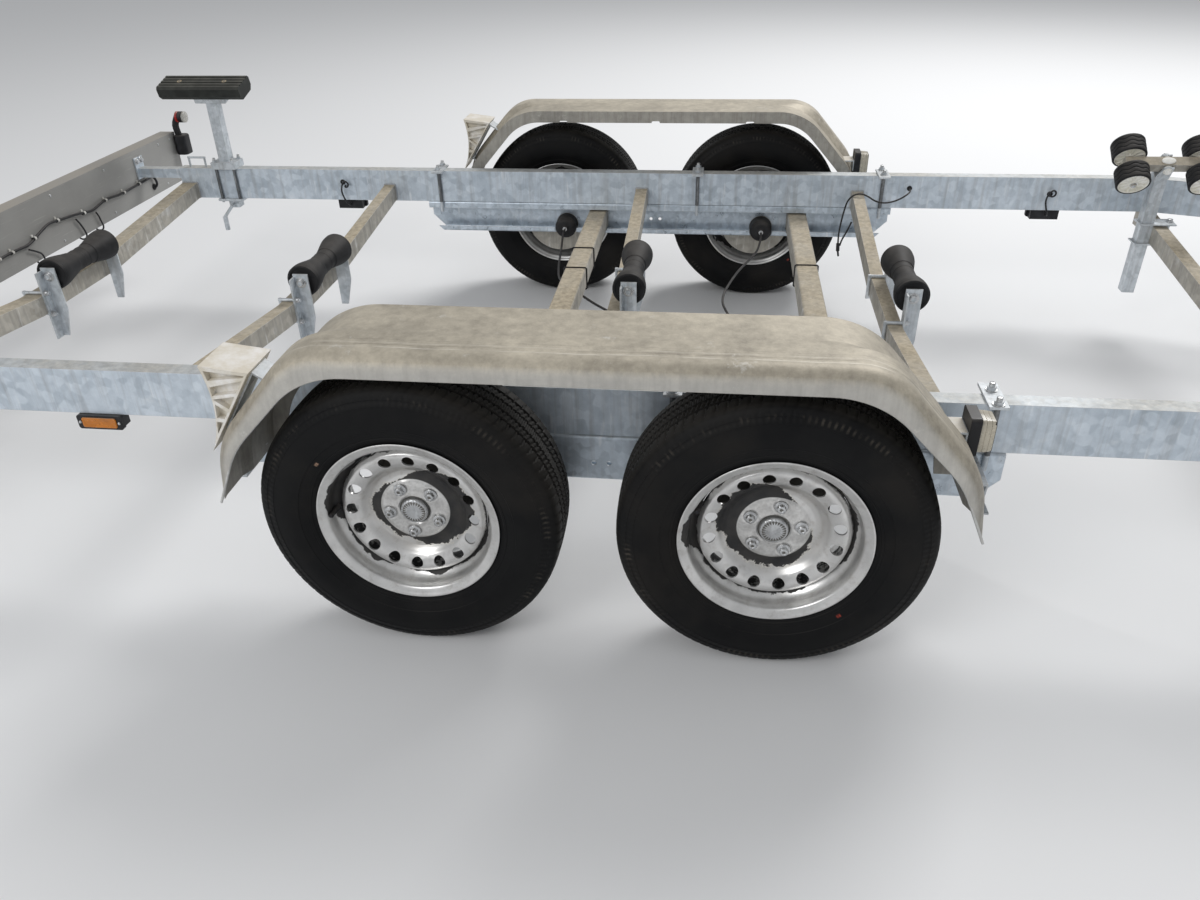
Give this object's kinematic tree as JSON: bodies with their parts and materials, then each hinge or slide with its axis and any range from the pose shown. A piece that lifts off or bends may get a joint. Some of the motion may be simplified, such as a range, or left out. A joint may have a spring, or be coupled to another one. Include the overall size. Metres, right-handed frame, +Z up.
{
  "type": "boat trailer",
  "caption": "Braked tandem-axle boat trailer with keel rollers, side pads, rocker rollers, sliding light board, winch post and jockey wheel.",
  "frame": {"origin": "centre of the bounding box, at the ground", "axes": "+X towards the coupling, +Y to the trailer's left, +Z up"},
  "size_m": [6.501, 2.362, 1.056],
  "materials": {
    "galvanised": "hot-dip galvanised, spangled and dusty",
    "painted_board": "grey coated sheet",
    "black_rubber": "matt black moulded rubber",
    "roller_rubber": "black rubber tread on a pale ribbed wheel",
    "tyre": "worn black tyre",
    "rim_paint": "silver paint, flaking to black",
    "hub_steel": "bright plated steel",
    "black_plastic": "black plastic",
    "lamp_plastic": "pale and amber lenses on black bodies",
    "cream_plastic": "aged cream plastic",
    "coupling_paint": "dark coated steel",
    "jockey_rubber": "solid rubber",
    "winch_zinc": "zinc plated steel"
  },
  "bodies": {
    "chassis": {"axle_carriers": "galvanised", "axle_tubes": "galvanised", "board_lock_handles": "galvanised", "bow_stop": "black_rubber", "brake_boots": "black_rubber", "chassis_lamps": "lamp_plastic", "clipped_cables": "black_plastic", "coupling_gaiter": "black_rubber", "coupling_head": "coupling_paint", "coupling_housing": "galvanised", "crossmembers": "galvanised", "fender_brackets": "galvanised", "fender_left": "galvanised", "fender_right": "galvanised", "handbrake_lever": "black_plastic", "jockey_tube": "galvanised", "keel_roller_brackets": "galvanised", "lead_plugs": "black_plastic", "loose_lead": "black_plastic", "rail_clamps": "galvanised", "rail_left": "galvanised", "rail_right": "galvanised", "roller_posts": "galvanised", "side_pad_posts": "galvanised", "side_pads": "black_rubber", "trailing_arms": "galvanised", "wheel_chocks": "cream_plastic", "winch_post": "galvanised"},
    "wheel_rear_left": {"tyre_rear_left": "tyre", "rim_rear_left": "rim_paint", "hub_rear_left": "hub_steel"},
    "wheel_rear_right": {"tyre_rear_right": "tyre", "rim_rear_right": "rim_paint", "hub_rear_right": "hub_steel"},
    "wheel_front_left": {"tyre_front_left": "tyre", "rim_front_left": "rim_paint", "hub_front_left": "hub_steel"},
    "wheel_front_right": {"tyre_front_right": "tyre", "rim_front_right": "rim_paint", "hub_front_right": "hub_steel"},
    "keel_roller_rear_body": {"keel_roller_rear": "black_rubber"},
    "keel_roller_mid_rear_body": {"keel_roller_mid_rear": "black_rubber"},
    "keel_roller_centre_body": {"keel_roller_centre": "black_rubber"},
    "keel_roller_mid_front_body": {"keel_roller_mid_front": "black_rubber"},
    "keel_roller_front_body": {"keel_roller_front": "black_rubber"},
    "rocker_left_body": {"rocker_left": "galvanised"},
    "rocker_wheels_rear_left_body": {"rocker_wheels_rear_left": "roller_rubber"},
    "rocker_wheels_front_left_body": {"rocker_wheels_front_left": "roller_rubber"},
    "rocker_right_body": {"rocker_right": "galvanised"},
    "rocker_wheels_rear_right_body": {"rocker_wheels_rear_right": "roller_rubber"},
    "rocker_wheels_front_right_body": {"rocker_wheels_front_right": "roller_rubber"},
    "board_body": {"light_board": "painted_board", "light_board_arms": "galvanised", "rear_lamps": "black_plastic", "board_harness": "black_plastic"},
    "jockey_leg_body": {"jockey_leg": "galvanised"},
    "jockey_fork_body": {"jockey_fork": "galvanised"},
    "jockey_wheel_body": {"jockey_wheel": "jockey_rubber"},
    "winch_drum_body": {"winch_drum": "winch_zinc"},
    "winch_crank_body": {"winch_crank": "winch_zinc"}
  },
  "joints": [
    {"name": "wheel_rear_left_spin", "type": "hinge", "parent": "chassis", "child": "wheel_rear_left", "pos_m": [-1.5255, 1.038, 0.321], "axis": [0, 1, 0], "continuous": true},
    {"name": "wheel_rear_right_spin", "type": "hinge", "parent": "chassis", "child": "wheel_rear_right", "pos_m": [-1.5255, -1.038, 0.321], "axis": [0, 1, 0], "continuous": true},
    {"name": "wheel_front_left_spin", "type": "hinge", "parent": "chassis", "child": "wheel_front_left", "pos_m": [-0.7735, 1.038, 0.321], "axis": [0, 1, 0], "continuous": true},
    {"name": "wheel_front_right_spin", "type": "hinge", "parent": "chassis", "child": "wheel_front_right", "pos_m": [-0.7735, -1.038, 0.321], "axis": [0, 1, 0], "continuous": true},
    {"name": "keel_roller_rear_spin", "type": "hinge", "parent": "chassis", "child": "keel_roller_rear_body", "pos_m": [-2.9255, 0, 0.456], "axis": [0, 1, 0], "continuous": true},
    {"name": "keel_roller_mid_rear_spin", "type": "hinge", "parent": "chassis", "child": "keel_roller_mid_rear_body", "pos_m": [-2.1235, 0, 0.456], "axis": [0, 1, 0], "continuous": true},
    {"name": "keel_roller_centre_spin", "type": "hinge", "parent": "chassis", "child": "keel_roller_centre_body", "pos_m": [-1.1555, 0, 0.456], "axis": [0, 1, 0], "continuous": true},
    {"name": "keel_roller_mid_front_spin", "type": "hinge", "parent": "chassis", "child": "keel_roller_mid_front_body", "pos_m": [-0.3745, 0, 0.456], "axis": [0, 1, 0], "continuous": true},
    {"name": "keel_roller_front_spin", "type": "hinge", "parent": "chassis", "child": "keel_roller_front_body", "pos_m": [0.637, 0, 0.456], "axis": [0, 1, 0], "continuous": true},
    {"name": "rocker_left_rock", "type": "hinge", "parent": "chassis", "child": "rocker_left_body", "pos_m": [0.55, 0.692, 0.605], "axis": [0, 0.788, 0.6157], "range_deg": [-15, 15]},
    {"name": "rocker_wheels_rear_left_spin", "type": "hinge", "parent": "rocker_left_body", "child": "rocker_wheels_rear_left_body", "pos_m": [0.437, 0.692, 0.605], "axis": [0, 0.788, 0.6157], "continuous": true},
    {"name": "rocker_wheels_front_left_spin", "type": "hinge", "parent": "rocker_left_body", "child": "rocker_wheels_front_left_body", "pos_m": [0.663, 0.692, 0.605], "axis": [0, 0.788, 0.6157], "continuous": true},
    {"name": "rocker_right_rock", "type": "hinge", "parent": "chassis", "child": "rocker_right_body", "pos_m": [0.55, -0.692, 0.605], "axis": [0, -0.788, 0.6157], "range_deg": [-15, 15]},
    {"name": "rocker_wheels_rear_right_spin", "type": "hinge", "parent": "rocker_right_body", "child": "rocker_wheels_rear_right_body", "pos_m": [0.437, -0.692, 0.605], "axis": [0, -0.788, 0.6157], "continuous": true},
    {"name": "rocker_wheels_front_right_spin", "type": "hinge", "parent": "rocker_right_body", "child": "rocker_wheels_front_right_body", "pos_m": [0.663, -0.692, 0.605], "axis": [0, -0.788, 0.6157], "continuous": true},
    {"name": "light_board_slide", "type": "slide", "parent": "chassis", "child": "board_body", "axis": [-1, 0, 0], "range_m": [0, 0.3]},
    {"name": "jockey_lift", "type": "slide", "parent": "chassis", "child": "jockey_leg_body", "axis": [0, 0, 1], "range_m": [-0.06, 0.17]},
    {"name": "jockey_swivel", "type": "hinge", "parent": "jockey_leg_body", "child": "jockey_fork_body", "pos_m": [2.6105, -0.262, 0.215], "axis": [0, 0, 1], "continuous": true},
    {"name": "jockey_wheel_spin", "type": "hinge", "parent": "jockey_fork_body", "child": "jockey_wheel_body", "pos_m": [2.5685, -0.262, 0.1], "axis": [0, 1, 0], "continuous": true},
    {"name": "winch_drum_turn", "type": "hinge", "parent": "chassis", "child": "winch_drum_body", "pos_m": [1.8785, 0, 1.004], "axis": [0, 1, 0], "continuous": true},
    {"name": "winch_crank_turn", "type": "hinge", "parent": "chassis", "child": "winch_crank_body", "pos_m": [1.9345, 0, 0.96], "axis": [0, 1, 0], "continuous": true}
  ],
  "couplings": [
    {"joint": "winch_crank_turn", "follows": "winch_drum_turn", "ratio": -4}
  ]
}
